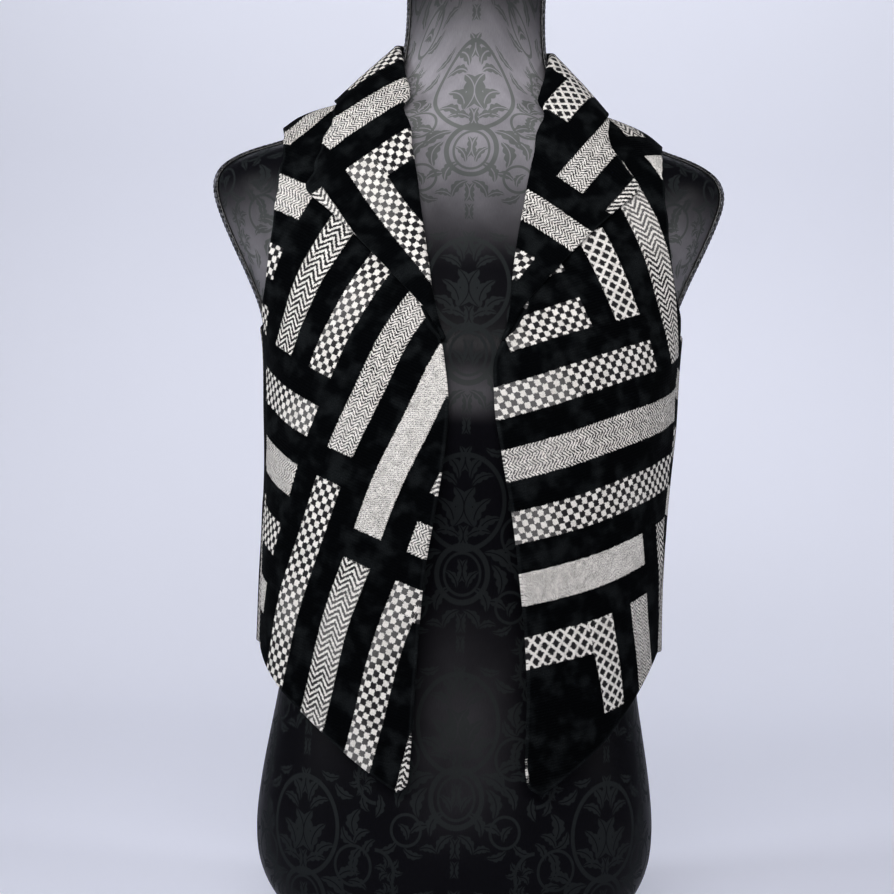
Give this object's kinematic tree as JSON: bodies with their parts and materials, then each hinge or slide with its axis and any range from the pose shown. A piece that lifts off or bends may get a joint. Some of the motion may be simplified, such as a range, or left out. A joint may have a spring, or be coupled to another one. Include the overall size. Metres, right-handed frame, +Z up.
{
  "type": "vest on a dress form",
  "caption": "Cropped, sleeveless, open-front vest with a wide shawl collar and angled hem points, on a limbless dress form that stands on its flat foot.",
  "frame": {"origin": "under the middle of the bounding box, on the plane of the form's flat foot", "axes": "+X to the wearer's left, +Y to the back, +Z up; the open front faces -Y"},
  "size_m": [0.4026, 0.2482, 0.7413],
  "materials": {
    "form_satin": "tone-on-tone damask satin",
    "form_braid": "black gimp braid",
    "vest_cloth": "black velvet pile with cream woven bars"
  },
  "bodies": {
    "root": {"form_body": "form_satin", "form_neck_cap": "form_satin", "form_braid_left": "form_braid", "form_braid_right": "form_braid", "vest_front_left": "vest_cloth", "vest_front_right": "vest_cloth", "vest_collar_left": "vest_cloth", "vest_collar_right": "vest_cloth", "vest_back": "vest_cloth"}
  },
  "joints": []
}
